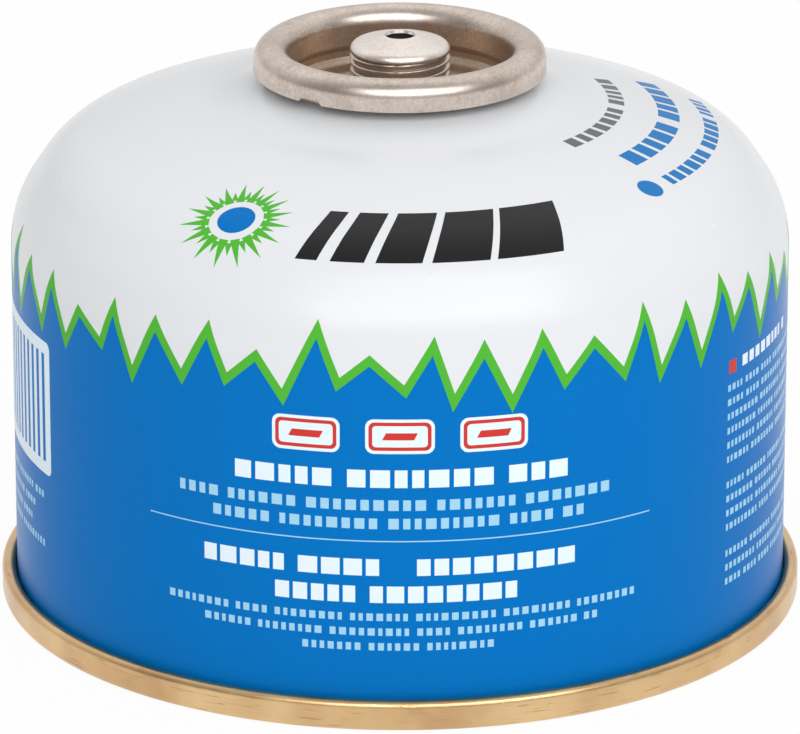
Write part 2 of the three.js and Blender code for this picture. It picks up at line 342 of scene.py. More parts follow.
def connect(mat, **sockets):
    """Links outputs to the shader's inputs, with _ for a space in an input's name."""
    shader = mat.node_tree.nodes["Principled BSDF"]
    for key, output in sockets.items():
        link(mat, output, shader.inputs[key.replace("_", " ")])


def object_coordinates(mat, scale=(1, 1, 1)):
    """Object coordinates in millimetres times scale."""
    coordinates = node(mat, "ShaderNodeTexCoord")
    mapping = node(mat, "ShaderNodeMapping", Scale=tuple(s / MM for s in scale))
    link(mat, coordinates.outputs["Object"], mapping.inputs["Vector"])
    return mapping.outputs["Vector"]


def noise(mat, vector, scale, detail, roughness=0.5):
    made = node(mat, "ShaderNodeTexNoise", Scale=scale, Detail=detail, Roughness=roughness)
    link(mat, vector, made.inputs["Vector"])
    return made.outputs["Fac"]


def remap(owner, value, source, target=(0, 1)):
    """The value taken from the source range to the target range, and held inside it."""
    made = node(owner, "ShaderNodeMapRange")
    made.inputs["From Min"].default_value, made.inputs["From Max"].default_value = source
    made.inputs["To Min"].default_value, made.inputs["To Max"].default_value = target
    link(owner, value, made.inputs["Value"])
    return made.outputs["Result"]


def bump(mat, heights):
    """Bumps from (value, strength, distance), one on the other."""
    normal = None
    for value, strength, distance in heights:
        made = node(mat, "ShaderNodeBump", Strength=strength, Distance=distance * MM)
        link(mat, value, made.inputs["Height"])
        if normal:
            link(mat, normal, made.inputs["Normal"])
        normal = made.outputs["Normal"]
    return normal


def times_and(mat, value, times, other):
    """value * times + other"""
    made = node(mat, "ShaderNodeMath", operation="MULTIPLY_ADD")
    link(mat, value, made.inputs[0])
    made.inputs[1].default_value = times
    link(mat, other, made.inputs[2])
    return made.outputs["Value"]


def mix_colour(mat, factor, first, second):
    made = node(mat, "ShaderNodeMix", data_type="RGBA")
    colours = [s for s in made.inputs if s.type == "RGBA"]
    colours[0].default_value = (*first, 1)
    colours[1].default_value = (*second, 1)
    link(mat, factor, made.inputs["Factor"])
    return next(s for s in made.outputs if s.type == "RGBA")


def srgb(r, g, b):
    """A colour as a picture gives it, 0 to 255, turned into the linear values that a shader takes."""
    def linear(v):
        v /= 255
        return v / 12.92 if v <= 0.04045 else ((v + 0.055) / 1.055) ** 2.4
    return tuple(linear(v) for v in (r, g, b))


# Materials

def enamel(name, colour, roughness, ior):
    """Stoved paint or ink: faint orange peel, a slow change of gloss and a few dust nibs."""
    mat = material(name, colour, roughness, ior=ior)
    vector = object_coordinates(mat)
    slow = noise(mat, vector, scale=0.06, detail=1)
    peel = noise(mat, vector, scale=0.9, detail=2)
    nibs = remap(mat, noise(mat, vector, scale=0.75, detail=0), (0.76, 0.84))
    gloss = remap(mat, slow, (0.1, 0.9), (roughness - 0.05, roughness + 0.07))
    connect(mat, Roughness=gloss, Normal=bump(mat, [(peel, 0.12, 0.012), (nibs, 0.3, 0.03)]))
    return mat


def gold_lacquer():
    """Clear gold lacquer over rolled steel: round draw lines, faint blotches, rubs and fine scratches."""
    mat = material(
        "gold_lacquer", srgb(218, 176, 124), roughness=0.3, metallic=1.0, coat=0.2, coat_roughness=0.15)
    blotch = noise(mat, object_coordinates(mat), scale=0.09, detail=3)
    lines = noise(mat, object_coordinates(mat, (0.35, 0.35, 6)), scale=1.2, detail=4, roughness=0.7)
    long_noise = noise(mat, object_coordinates(mat, (0.16, 0.16, 4)), scale=1.5, detail=2)
    short_noise = noise(mat, object_coordinates(mat, (1.4, 1.4, 3)), scale=1.2, detail=1)
    rubs = remap(mat, long_noise, (0.64, 0.72))
    nicks = remap(mat, short_noise, (0.68, 0.76))
    worn = times_and(mat, rubs, 0.8, remap(mat, blotch, (0.25, 0.75), (0, 0.9)))
    colour = mix_colour(mat, worn, srgb(238, 204, 152), srgb(190, 147, 101))
    gloss = remap(mat, lines, (0.2, 0.8), (0.24, 0.44))
    relief = bump(mat, [(lines, 0.18, 0.03), (rubs, 0.3, 0.03), (nicks, 0.35, 0.04)])
    connect(mat, Base_Color=colour, Roughness=gloss, Normal=relief)
    return mat


def tinplate(name, pale, dull, smooth, rough):
    """Drawn tinplate: a fine mottled grain on slow patches, from a pale to a dull colour."""
    mat = material(name, pale, smooth, metallic=1.0)
    vector = object_coordinates(mat)
    patch = noise(mat, vector, scale=0.25, detail=4, roughness=0.6)
    grain = noise(mat, vector, scale=2.6, detail=5, roughness=0.75)
    mottle = times_and(mat, grain, 1.6, patch)
    colour = mix_colour(mat, remap(mat, mottle, (0.85, 1.75)), pale, dull)
    gloss = remap(mat, grain, (0.25, 0.75), (smooth, rough))
    relief = bump(mat, [(grain, 0.35, 0.02), (patch, 0.2, 0.05)])
    connect(mat, Base_Color=colour, Roughness=gloss, Normal=relief)
    return mat


def rubber():
    """Matt black gasket rubber."""
    mat = material("black_rubber", srgb(34, 32, 31), roughness=0.75)
    grain = noise(mat, object_coordinates(mat), scale=6, detail=3)
    gloss = remap(mat, grain, (0.3, 0.7), (0.65, 0.85))
    connect(mat, Roughness=gloss, Normal=bump(mat, [(grain, 0.3, 0.02)]))
    return mat


def moulded_plastic():
    """Off-white moulded acetal."""
    mat = material("acetal", srgb(226, 221, 209), roughness=0.42)
    grain = noise(mat, object_coordinates(mat), scale=3, detail=3)
    gloss = remap(mat, grain, (0.3, 0.7), (0.36, 0.5))
    connect(mat, Roughness=gloss, Normal=bump(mat, [(grain, 0.2, 0.01)]))
    return mat


def spring_wire():
    """Bright wire with faint lines from drawing."""
    mat = material("spring_wire", srgb(176, 176, 178), roughness=0.28, metallic=1.0)
    drawn = noise(mat, object_coordinates(mat, (1, 1, 4)), scale=4, detail=3)
    gloss = remap(mat, drawn, (0.3, 0.7), (0.22, 0.36))
    connect(mat, Roughness=gloss, Normal=bump(mat, [(drawn, 0.2, 0.01)]))
    return mat


# Ink lies flat under thin varnish, so it shows less white glare than the enamel
INK_IOR = 1.14

WHITE = enamel("white_enamel", srgb(222, 224, 227), roughness=0.24, ior=1.42)
BLUE = enamel("blue_ink", srgb(0, 112, 189), roughness=0.25, ior=INK_IOR)
GREEN = enamel("green_ink", srgb(82, 178, 56), roughness=0.25, ior=INK_IOR)
PALE = enamel("pale_ink", srgb(226, 240, 248), roughness=0.3, ior=INK_IOR)
SOFT = enamel("soft_ink", srgb(160, 208, 234), roughness=0.3, ior=INK_IOR)
SKY = enamel("sky_ink", srgb(34, 120, 186), roughness=0.25, ior=INK_IOR)
DARK = enamel("dark_ink", srgb(32, 30, 31), roughness=0.25, ior=1.3)
GREY = enamel("grey_ink", srgb(96, 98, 102), roughness=0.3, ior=1.3)
RED = enamel("red_ink", srgb(204, 58, 50), roughness=0.3, ior=1.2)
INKS = [WHITE, BLUE, GREEN, PALE, SOFT, SKY, DARK, GREY, RED]
GOLD = gold_lacquer()
TIN = tinplate("tinplate", srgb(230, 219, 210), srgb(184, 167, 153), smooth=0.24, rough=0.4)
# Painted shade: a darker, warmer copy of the tinplate for the valve cup's recess
SHADED_TIN = tinplate("shaded_tinplate", srgb(204, 184, 165), srgb(176, 155, 135), smooth=0.4, rough=0.54)
# Painted highlight: a brighter copy of the tinplate for the top of the post
LIT_TIN = tinplate("lit_tinplate", srgb(253, 247, 242), srgb(222, 209, 198), smooth=0.28, rough=0.42)
RUBBER = rubber()
ACETAL = moulded_plastic()
WIRE = spring_wire()


# The vessel's skin. A place on it is (across, up): across is in degrees round the axis, 0 at the
# front and positive to the right; up is in millimetres along the skin, from the foot plane.

# How far the skin starts above the body hook's bend, and how much longer than a step an arc's step may be
SKIN_FOOT_LIFT = 0.2
SKIN_SLACK = 0.05

MM_PER_DEGREE = math.pi * BODY_RADIUS / 180


def skin_path():
    """The vessel's visible outside, from behind the seam to the neck."""
    wall = [(BODY_RADIUS, BODY_FOOT + BODY_SHEET + SKIN_FOOT_LIFT), (BODY_RADIUS, WALL_TOP)]
    return sample(wall, WALL_STEP)[:-1] + sample(SHOULDER, SKIN_STEP + SKIN_SLACK)


def distances(path, first):
    """How far along a path each of its points lies, counted on from first."""
    out = [first]
    for a, b in zip(path, path[1:]):
        out.append(out[-1] + math.dist(a, b))
    return out


SKIN = skin_path()
SKIN_UP = distances(SKIN, SKIN[0][1])


def skin_point(up):
    """Radius and height of the skin at a distance along it."""
    radius = float(np.interp(up, SKIN_UP, [p[0] for p in SKIN]))
    height = float(np.interp(up, SKIN_UP, [p[1] for p in SKIN]))
    return radius, height


# Shapes of the print: (outline of places, ink). Later shapes lie over earlier ones.
print_shapes = []

# The longest step along a shape's edge, in degrees across and in millimetres up
EDGE_ACROSS = 1.5
EDGE_UP = 0.9

CORNER_STEPS = 6


def shape(places, ink):
    """Prints a shape. Its edges are cut up so that they bend with the skin."""
    fine = []
    for (across, up), (next_across, next_up) in zip(places, places[1:] + places[:1]):
        count = math.ceil(max(abs(next_across - across) / EDGE_ACROSS, abs(next_up - up) / EDGE_UP, 1))
        steps = [i / count for i in range(count)]
        fine += [(across + (next_across - across) * t, up + (next_up - up) * t) for t in steps]
    print_shapes.append((fine, ink))


def stamp(points, across, up, ink):
    """Prints a shape given in millimetres round a place on the skin."""
    radius = skin_point(up)[0]
    shape([(across + math.degrees(x / radius), up + y) for x, y in points], ink)


def box(across, up, width, height, ink, slant=0.0):
    """Prints a block, its sides leaning over by slant of its height."""
    half, tall = width / 2, height / 2
    lean = slant * tall
    stamp([(-half - lean, -tall), (half - lean, -tall), (half + lean, tall), (-half + lean, tall)],
          across, up, ink)


def disc(across, up, diameter, ink, sides):
    """Prints a round spot."""
    angles = [2 * math.pi * i / sides for i in range(sides)]
    stamp([(diameter / 2 * math.cos(a), diameter / 2 * math.sin(a)) for a in angles], across, up, ink)


def rounded_tile(across, up, width, height, corner, ink):
    """Prints a plain tile with round corners."""
    points = []
    for turn, side, end in [(0, 1, 1), (90, -1, 1), (180, -1, -1), (270, 1, -1)]:
        for i in range(CORNER_STEPS + 1):
            angle = math.radians(turn + 90 * i / CORNER_STEPS)
            x = side * (width / 2 - corner) + corner * math.cos(angle)
            y = end * (height / 2 - corner) + corner * math.sin(angle)
            points.append((x, y))
    stamp(points, across, up, ink)


def rays(across, up, inner, outer, width, ink, count, turn=0.0):
    """Prints narrow pointed rays round a centre, turned by a share of the angle between two."""
    for i in range(count):
        angle = 2 * math.pi * (i + turn) / count
        out = Vector((math.cos(angle), math.sin(angle)))
        side = out.orthogonal() * width / 2
        stamp([out * inner - side, out * outer, out * inner + side], across, up, ink)


# Rows of plain blocks at the rhythm of a line of print: how many blocks go together, the space after
# them as a share of the blocks' height, and how much a block's width varies
GROUP_SIZE = (4, 9)
GROUP_SPACE = 0.6
WIDTH_SPREAD = (0.7, 1.3)

# Kinds of row: height of the blocks, their mean width and the gap between two as shares of it, and ink
TITLE = (2.0, 0.9, 0.25, PALE)
HEADING = (1.9, 0.9, 0.22, PALE)
TEXT = (1.2, 0.75, 0.4, SOFT)
NOTE = (0.85, 0.7, 0.45, SOFT)
SIDE_NOTE = (0.8, 0.75, 0.45, SOFT)
SIDE_HEADING = (1.3, 0.8, 0.35, PALE)
SMALL_TEXT = (0.75, 0.75, 0.45, SOFT)
UPPER_ARC = (1.8, 0.75, 0.35, GREY)
MIDDLE_ARC = (2.5, 0.8, 0.25, SKY)
LOWER_ARC = (1.7, 0.8, 0.3, SKY)


def block_row(kind, from_across, to_across, up, seed):
    """Prints a row of blocks in groups, between two places at one height."""
    height, block, gap, ink = kind
    draw = random.Random(seed)
    mm = math.degrees(1 / skin_point(up)[0])
    across = from_across
    left_in_group = draw.randint(*GROUP_SIZE)
    while True:
        width = height * block * draw.uniform(*WIDTH_SPREAD)
        if across + width * mm > to_across:
            break
        box(across + width * mm / 2, up, width, height, ink)
        across += (width + gap * height) * mm
        left_in_group -= 1
        if left_in_group == 0:
            across += GROUP_SPACE * height * mm
            left_in_group = draw.randint(*GROUP_SIZE)


# The blue field and its jagged upper edge. Heights are in millimetres up the skin, and the lower edge
# is under the skin's start, which cuts it off. A peak's height is a share of the way from low to high,
# and the places of peaks and valleys are shares of the step from one peak to the next.
FIELD_FLOOR = -3.8
RIDGE_LOW = 37.6
RIDGE_HIGH = 46.0
RIDGE_ENDS = 39.1
RIDGE_PEAKS = 44
RIDGE_SEED = 11
TALL_PEAK = (0.78, 1.0)
SHORT_PEAK = (0.5, 0.8)
PEAK_PLACE = (0.4, 0.6)
VALLEY_PLACE = (0.9, 1.1)
VALLEY_RISE = (-0.4, 2.4)

# The green band along it: its width, its drop at the back as a share of that, and its longest corner
EDGE_WIDTH = 0.95
EDGE_END_DROP = 1.2
EDGE_MITRE = 2.2


def ridge_line():
    """A jagged skyline round the vessel, the same height where it meets itself at the back."""
    draw = random.Random(RIDGE_SEED)
    step = 360 / RIDGE_PEAKS
    line = [(-180.0, RIDGE_ENDS)]
    for i in range(RIDGE_PEAKS):
        left = -180 + i * step
        share = draw.uniform(*(TALL_PEAK if i % 2 == 0 else SHORT_PEAK))
        peak = RIDGE_LOW + (RIDGE_HIGH - RIDGE_LOW) * share
        line.append((left + step * draw.uniform(*PEAK_PLACE), peak))
        if i < RIDGE_PEAKS - 1:
            line.append((left + step * draw.uniform(*VALLEY_PLACE), RIDGE_LOW + draw.uniform(*VALLEY_RISE)))
    line.append((180.0, RIDGE_ENDS))
    return line


def lowered(line, width):
    """The line moved down so that a band of that width, square to it, lies between."""
    out = []
    for i, (across, up) in enumerate(line):
        if i in (0, len(line) - 1):
            out.append((across, up - width * EDGE_END_DROP))
            continue
        left = Vector(((across - line[i - 1][0]) * MM_PER_DEGREE, up - line[i - 1][1])).normalized()
        right = Vector(((line[i + 1][0] - across) * MM_PER_DEGREE, line[i + 1][1] - up)).normalized()
        mitre = (left.orthogonal() + right.orthogonal()).normalized()
        shift = -mitre * min(width / mitre.dot(left.orthogonal()), EDGE_MITRE * width)
        out.append((across + shift.x / MM_PER_DEGREE, up + shift.y))
    return out


def print_field():
    """The blue field round the whole wall, with the green band along its upper edge."""
    ridge = ridge_line()
    floor_ends = [(-180, FIELD_FLOOR), (180, FIELD_FLOOR)]
    shape(floor_ends + ridge[::-1], GREEN)
    shape(floor_ends + lowered(ridge, EDGE_WIDTH)[::-1], BLUE)


# Three tiles over the front's rows: where they are, and each layer's width, height, corner and ink
TILES_UP = 33.2
TILES_ACROSS = (-13.4, 0, 13.4)
TILE_LAYERS = [(7.4, 3.9, 0.9, PALE), (6.7, 3.2, 0.65, RED), (5.9, 2.4, 0.4, PALE)]
TILE_MARK = (3.4, 0.8)
TILE_MARK_SLANT = 0.5

# The thin line between the front's rows: its height on the skin, length and width
LINE_UP = 21.3
LINE_SIZE = (58, 0.14)


def print_front():
    """Tiles and rows of blocks on the front."""
    for across in TILES_ACROSS:
        for width, height, corner, ink in TILE_LAYERS:
            rounded_tile(across, TILES_UP, width, height, corner, ink)
        box(across, TILES_UP, *TILE_MARK, RED, TILE_MARK_SLANT)
    block_row(TITLE, -24.0, 24.6, up=28.4, seed=1)
    block_row(TEXT, -33.0, 33.2, up=25.4, seed=2)
    block_row(TEXT, -27.5, 28.2, up=23.3, seed=3)
    box(0, LINE_UP, *LINE_SIZE, SOFT)
    block_row(HEADING, -29.0, -1.6, up=18.3, seed=4)
    block_row(HEADING, 2.4, 30.0, up=18.3, seed=5)
    block_row(HEADING, -18.0, 18.6, up=15.2, seed=8)
    block_row(NOTE, -35.0, 36.0, up=12.6, seed=6)
    block_row(NOTE, -29.0, 30.0, up=10.9, seed=7)
    block_row(NOTE, -14.0, 14.6, up=9.2, seed=9)


# The striped panel on the left, and the rows of blocks under it
STRIPED_ACROSS = -76
STRIPED_UP = 27.6
STRIPED_SIZE = (21, 15.5)
STRIPED_CORNER = 0.8
STRIPES = 12
STRIPE_FROM = -87.6
STRIPE_STEP = 2.11
STRIPE_SIZE = (0.75, 12.6)
LEFT_ROWS = 4
LEFT_ROWS_TOP = 17.2
LEFT_ROWS_PITCH = 1.9
LEFT_ROWS_FROM = -90
LEFT_ROWS_TO = -64
LEFT_RAG = 3
LEFT_SEED = 20

# The rows' ragged ends come round again after this many rows
RAG_ROWS = 3


def print_left():
    """An evenly striped pale panel and a few rows of blocks."""
    rounded_tile(STRIPED_ACROSS, STRIPED_UP, *STRIPED_SIZE, STRIPED_CORNER, PALE)
    for i in range(STRIPES):
        box(STRIPE_FROM + i * STRIPE_STEP, STRIPED_UP, *STRIPE_SIZE, BLUE)
    for i in range(LEFT_ROWS):
        to_across = LEFT_ROWS_TO - LEFT_RAG * (i % RAG_ROWS)
        block_row(SIDE_NOTE, LEFT_ROWS_FROM, to_across, LEFT_ROWS_TOP - LEFT_ROWS_PITCH * i, LEFT_SEED + i)


# The column of blocks on the right: a marked heading, then paragraphs given as (top, rows)
RIGHT_HEADING_UP = 34.2
RIGHT_MARK_ACROSS = 56.6
RIGHT_MARK_SIZE = (1.5, 1.5)
PARAGRAPHS = [(31.8, 6), (20.6, 4), (12.6, 3)]
COLUMN_FROM = 55.4
COLUMN_TO = 96
COLUMN_PITCH = 1.65
COLUMN_RAG = 2
LAST_ROW_SHORTER = 9
COLUMN_SEED = 31
PARAGRAPH_SEEDS = 8


def print_right():
    """A column of small blocks in three paragraphs."""
    box(RIGHT_MARK_ACROSS, RIGHT_HEADING_UP, *RIGHT_MARK_SIZE, RED)
    block_row(SIDE_HEADING, 59.4, 80, up=RIGHT_HEADING_UP, seed=30)
    for paragraph, (top, rows) in enumerate(PARAGRAPHS):
        for i in range(rows):
            shorter = LAST_ROW_SHORTER if i == rows - 1 else COLUMN_RAG * (i % RAG_ROWS)
            seed = COLUMN_SEED + PARAGRAPH_SEEDS * paragraph + i
            block_row(SMALL_TEXT, COLUMN_FROM, COLUMN_TO - shorter, top - COLUMN_PITCH * i, seed)


# On the shoulder: slanted bars as (across, width), and a sunburst left of them
BARS = [(-13.2, 2.2), (-6.592, 3.4), (1.584, 4.6), (11.44, 5.8), (22.864, 7.0)]
BARS_UP = 56.0
BAR_HEIGHT = 7.4
BAR_SLANT = 0.3
SUN_PLACE = (-29.5, 56.4)
SUN_RAYS = 16


def print_shoulder():
    """Bars and a sunburst to the front, and three arcs of blocks to the right."""
    for across, width in BARS:
        box(across, BARS_UP, width, BAR_HEIGHT, DARK, BAR_SLANT)
    disc(*SUN_PLACE, diameter=4.2, ink=BLUE, sides=40)
    rays(*SUN_PLACE, inner=3.0, outer=6.4, width=1.05, ink=GREEN, count=SUN_RAYS)
    rays(*SUN_PLACE, inner=3.4, outer=5.0, width=0.8, ink=GREEN, count=SUN_RAYS, turn=0.5)
    block_row(UPPER_ARC, 50, 112, up=68.4, seed=50)
    block_row(MIDDLE_ARC, 56, 114, up=62.4, seed=51)
    disc(51.5, 57.4, diameter=3.0, ink=SKY, sides=32)
    block_row(LOWER_ARC, 57, 110, up=57.4, seed=52)


# How the triangulation is asked for: triangles alone, and places this close count as one
ALL_TRIANGLES = 0
CLOSE_PLACES = 1e-5


def skin_mesh(bm):
    """Triangulates the skin so that every shape of the print has exact edges in the mesh."""
    points = []
    for up in SKIN_UP:
        for c in range(BODY_COLUMNS + 1):
            points.append(Vector(((-180 + 360 * c / BODY_COLUMNS) * MM_PER_DEGREE, up)))
    faces = []
    low, high = SKIN_UP[0], SKIN_UP[-1]
    for places, _ in print_shapes:
        start = len(points)
        points += [Vector((across * MM_PER_DEGREE, min(max(up, low), high))) for across, up in places]
        faces.append(list(range(start, len(points))))
    verts, _, triangles, _, _, parents = delaunay_2d_cdt(
        points, [], faces, ALL_TRIANGLES, CLOSE_PLACES, True)
    ink_number = {ink: i for i, ink in enumerate(INKS)}
    up_layer = bm.verts.layers.float.new("up")
    made = []
    for v in verts:
        made.append(bm.verts.new(around(*skin_point(v.y), v.x / BODY_RADIUS)))
        made[-1][up_layer] = v.y
    for triangle, inside in zip(triangles, parents):
        face = bm.faces.new([made[i] for i in triangle])
        top = max((p for p in inside if p < len(print_shapes)), default=None)
        face.material_index = 0 if top is None else ink_number[print_shapes[top][1]]


def set_skin_normals(obj):
    """Gives the skin its outline's exact normals, so that the print's triangles don't show in the gloss."""
    slope_r = np.gradient([p[0] for p in SKIN], SKIN_UP)
    slope_z = np.gradient([p[1] for p in SKIN], SKIN_UP)
    ups = obj.data.attributes["up"].data
    normals = []
    for v, up in zip(obj.data.vertices, ups):
        if up.value == 0:
            normals.append(v.normal.copy())
            continue
        outward = float(np.interp(up.value, SKIN_UP, slope_z))
        rise = -float(np.interp(up.value, SKIN_UP, slope_r))
        angle = math.atan2(v.co.x, -v.co.y)
        normals.append(Vector(around(outward, rise, angle)).normalized())
    obj.data.normals_split_custom_set_from_vertices(normals)
    obj.data.attributes.remove(obj.data.attributes["up"])


def vessel_foot():
    """The vessel's hidden outline below the skin: its floor over the panel, and the body hook."""
    bend = SEAM_BEND + BODY_SHEET / 2
    fold = SEAM_BEND - BODY_SHEET / 2
    radii = np.linspace(0, CHUCK_MIDDLE, VESSEL_PANEL_POINTS)
    panel = [(r, panel_height(r) + END_SHEET / 2 + PANEL_GAP) for r in radii]
    return rounded([
        *panel[:-1],
        (BODY_RADIUS - BODY_SHEET, panel[-1][1]),
        (BODY_RADIUS - BODY_SHEET, BODY_FOOT, bend),
        (BODY_HOOK_OUTER, BODY_FOOT, bend),
        (BODY_HOOK_OUTER, BODY_HOOK_TOP),
        (BODY_HOOK_INNER, BODY_HOOK_TOP),
        (BODY_HOOK_INNER, BODY_FOOT + BODY_SHEET, fold),
        (BODY_RADIUS, BODY_FOOT + BODY_SHEET, fold),
        SKIN[0],
    ])


def vessel_mouth():
    """The vessel's bare outline above the skin: the curl, and the pocket that the cup and housing fill."""
    clear_of_crimp = CRIMP_DEPTH + CUP_SHEET / 2 + CUP_WALL_MIDDLE + POCKET_GAP
    pocket_floor = RECESS_FLOOR_MIDDLE - CUP_SHEET / 2 - POCKET_GAP
    return [
        SKIN[-1],
        *arc(MOUTH_CURL_CENTRE, MOUTH_CURL_RADIUS - BODY_SHEET, 180, MOUTH_CURL_END, CURL_TURN),
        *arc(MOUTH_CURL_CENTRE, MOUTH_CURL_RADIUS, MOUTH_CURL_END, 180, CURL_TURN),
        (MOUTH_RADIUS, CRIMP_MIDDLE + CRIMP_HEIGHT / 2 + CRIMP_FLANK + POCKET_GAP),
        (clear_of_crimp, CRIMP_MIDDLE + CRIMP_HEIGHT / 2 + POCKET_GAP),
        (clear_of_crimp, CRIMP_MIDDLE - CRIMP_HEIGHT / 2 - POCKET_GAP),
        (MOUTH_RADIUS, CRIMP_MIDDLE - CRIMP_HEIGHT / 2 - CRIMP_FLANK - POCKET_GAP),
        (MOUTH_RADIUS, pocket_floor),
        (HOUSING_LOWER_RADIUS + POCKET_GAP, pocket_floor),
        (HOUSING_LOWER_RADIUS + POCKET_GAP, HOUSING_BOTTOM - POCKET_GAP),
        (0, HOUSING_BOTTOM - POCKET_GAP),
    ]


def build_vessel():
    """The printed vessel, painted down to its hook and bare from the neck up."""
    bm = bmesh.new()
    skin_mesh(bm)
    revolve(bm, vessel_foot(), BODY_COLUMNS)
    painted = len(bm.faces)
    revolve(bm, vessel_mouth(), BODY_COLUMNS)
    bm.faces.ensure_lookup_table()
    for face in bm.faces[painted:]:
        face.material_index = len(INKS)
    bmesh.ops.remove_doubles(bm, verts=bm.verts, dist=MERGE_DISTANCE)
    vessel = new_object("vessel", bm, "canister", [*INKS, TIN])
    set_skin_normals(vessel)
    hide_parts("can_body")


def build_base_end():
    """The gold end: domed panel, chuck wall and the fold of the double seam."""
    bm = bmesh.new()
    panel = [(r, panel_height(r)) for r in np.linspace(0, CHUCK_MIDDLE, END_PANEL_POINTS)]
    middle = rounded([
        *panel[:-1],
        (CHUCK_MIDDLE, PANEL_EDGE_HEIGHT, PANEL_BEND),
        (CHUCK_MIDDLE, END_SHEET / 2, SEAM_BEND),
        (SEAM_WALL_MIDDLE, END_SHEET / 2, SEAM_BEND),
        (SEAM_WALL_MIDDLE, SEAM_HEIGHT - END_SHEET / 2, SEAM_BEND),
        (COVER_HOOK_MIDDLE, SEAM_HEIGHT - END_SHEET / 2, SEAM_BEND),
        (COVER_HOOK_MIDDLE, COVER_HOOK_END),
    ])
    one, other = thicken(middle, END_SHEET)
    revolve(bm, one + other[::-1], BODY_COLUMNS)
    end = new_object("base_end_pressing", bm, "canister", [GOLD])
    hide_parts("base_end")


# Rolled thread of the post: 7/16 inch, 28 turns to the inch, right-handed. The flat root and the
# flank are shares of half a turn's height.
THREAD_PITCH = 25.4 / 28
THREAD_DEPTH = 0.5
THREAD_LOW = 57.3
THREAD_HIGH = 62.75
THREAD_FADE = 0.45
THREAD_ROOT = 0.12
THREAD_FLANK = 0.72

# A nick in the lower edge of the ring's skirt, left of the front, in degrees and millimetres
NICK_FROM = -42
NICK_TO = -33
NICK_HEIGHT = 0.5

# How far the painted highlight, a brighter copy of the tinplate on the post's top, reaches down its rounded
# edge
LIT_EDGE = 0.3


def threaded(r, z, angle):
    """A point of the post's outside, moved onto the helical ridge, which runs out at both ends."""
    phase = (z / THREAD_PITCH - angle / (2 * math.pi)) % 1
    ridge = abs(2 * phase - 1)
    ridge = min(max((ridge - THREAD_ROOT) / THREAD_FLANK, 0), 1)
    ridge = ridge * ridge * (3 - 2 * ridge)
    ease = min((z - THREAD_LOW) / THREAD_FADE, (THREAD_HIGH - z) / THREAD_FADE, 1)
    return r - THREAD_DEPTH * (1 - ridge * max(ease, 0)), z


def on_post(r):
    return abs(r - THREAD_MAJOR_RADIUS) < ON_SURFACE


def thread_and_nick(r, z, angle):
    """Moves a point of the cup where the thread or the nick is."""
    if on_post(r) and THREAD_LOW < z < THREAD_HIGH:
        return threaded(r, z, angle)
    at_skirt_end = r > CUP_SKIRT_MIDDLE - CUP_SHEET and z < SKIRT_END + ON_SURFACE
    if at_skirt_end and NICK_FROM < math.degrees(angle) < NICK_TO:
        return r, z + NICK_HEIGHT
    return r, z


def cup_outline():
    """The closed outline of the cup's sheet, with close rows where the thread goes."""
    middle = rounded([
        (CUP_SKIRT_MIDDLE, SKIRT_END),
        (CUP_SKIRT_MIDDLE, RING_TOP_MIDDLE, CUP_CURL_MIDDLE),
        (CUP_WALL_MIDDLE, RING_TOP_MIDDLE, CUP_CURL_MIDDLE),
        (CUP_WALL_MIDDLE, CRIMP_MIDDLE + CRIMP_HEIGHT / 2 + CRIMP_FLANK, CRIMP_OUTER_BEND),
        (CUP_WALL_MIDDLE + CRIMP_DEPTH, CRIMP_MIDDLE + CRIMP_HEIGHT / 2, CRIMP_INNER_BEND),
        (CUP_WALL_MIDDLE + CRIMP_DEPTH, CRIMP_MIDDLE - CRIMP_HEIGHT / 2, CRIMP_INNER_BEND),
        (CUP_WALL_MIDDLE, CRIMP_MIDDLE - CRIMP_HEIGHT / 2 - CRIMP_FLANK, CRIMP_OUTER_BEND),
        (CUP_WALL_MIDDLE, RECESS_FLOOR_MIDDLE, RECESS_BEND),
        (POST_MIDDLE, RECESS_FLOOR_MIDDLE, POST_FOOT_BEND),
        (POST_MIDDLE, POST_EDGE_HEIGHT, POST_SHOULDER_BEND),
        (POST_HOLE_RADIUS + LIP_RUN, HOLE_HEIGHT - LIP_RUN * POST_SLOPE, LIP_BEND),
        (POST_HOLE_RADIUS, HOLE_HEIGHT),
    ])
    under, upper = thicken(middle, CUP_SHEET)
    fine = []
    for a, b in zip(upper, upper[1:]):
        fine += sample([a, b], THREAD_STEP if on_post(a[0]) and on_post(b[0]) else CUP_STEP)[:-1]
    fine.append(upper[-1])
    return fine + under[::-1]


def build_valve_cup():
    """The bare metal cup: ring, recess and threaded post, with painted shade (a darker tinplate) in the
    recess and a painted highlight (a brighter tinplate) on the post's top.
    """
    bm = bmesh.new()
    revolve(bm, cup_outline(), CUP_COLUMNS, thread_and_nick, closed=True)
    metals = [TIN, SHADED_TIN, LIT_TIN]
    cup = new_object("valve_cup_pressing", bm, "canister", metals)
    recess_top = (CRIMP_MIDDLE + CRIMP_HEIGHT / 2 + CRIMP_FLANK) * MM
    recess_inner = (THREAD_MAJOR_RADIUS + POST_FOOT_BEND) * MM
    lit_bottom = (POST_EDGE_HEIGHT - LIT_EDGE) * MM
    for face in cup.data.polygons:
        out = math.hypot(face.center.x, face.center.y)
        # Painted shade: the recess gets the darker copy of the tinplate
        if face.center.z < recess_top and out > recess_inner:
            face.material_index = metals.index(SHADED_TIN)
        # Painted highlight: the post's top, and a little way down its rounded edge, get the brighter copy
        elif face.center.z > lit_bottom and out < THREAD_MAJOR_RADIUS * MM:
            face.material_index = metals.index(LIT_TIN)
    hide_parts("valve_cup")


# The return spring in millimetres; its fixed end is in metres
SPRING_TURNS = 5
SPRING_WIRE_RADIUS = 0.25
SPRING_STEPS = 40
SPRING_SIDES = 12


